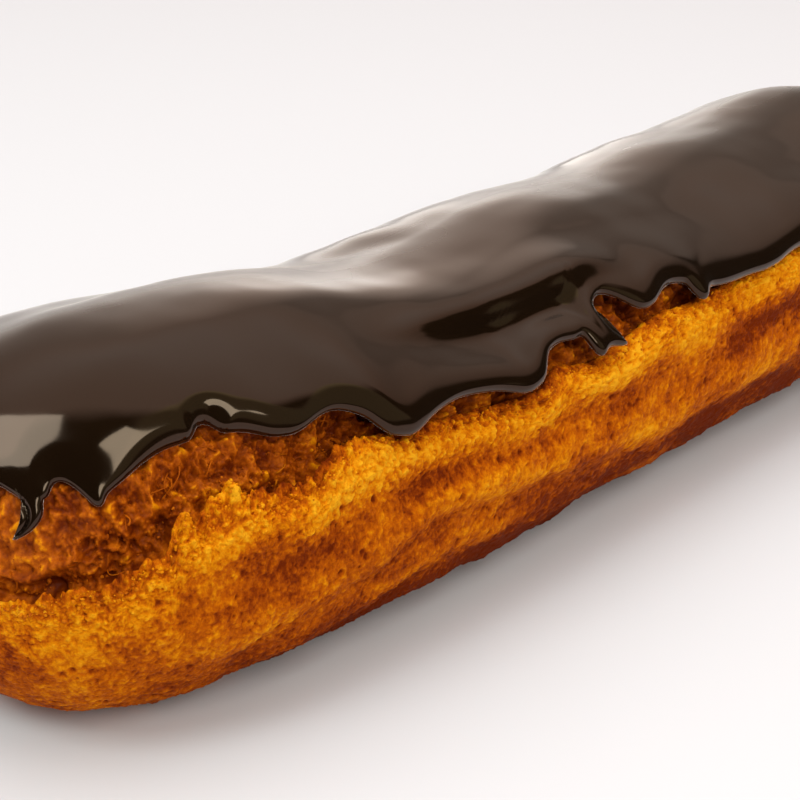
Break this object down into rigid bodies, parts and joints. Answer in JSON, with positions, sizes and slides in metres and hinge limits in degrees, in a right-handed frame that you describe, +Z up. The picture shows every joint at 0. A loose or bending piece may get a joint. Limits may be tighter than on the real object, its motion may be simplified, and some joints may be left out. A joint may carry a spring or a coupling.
{
  "type": "chocolate eclair",
  "caption": "Chocolate eclair: a finger of golden choux pastry, split along one side, under a thick glossy chocolate icing that drips at its edge.",
  "frame": {"origin": "on the surface that the eclair rests on, at the middle of its length and width", "axes": "+X along the eclair away from its burst end, -Y towards its split side, +Z up"},
  "size_m": [0.15, 0.043, 0.0357],
  "materials": {
    "crust": "dry, porous golden brown choux crust",
    "icing": "thick glossy dark chocolate icing"
  },
  "bodies": {
    "root": {"choux": "crust", "icing": "icing"}
  },
  "joints": []
}
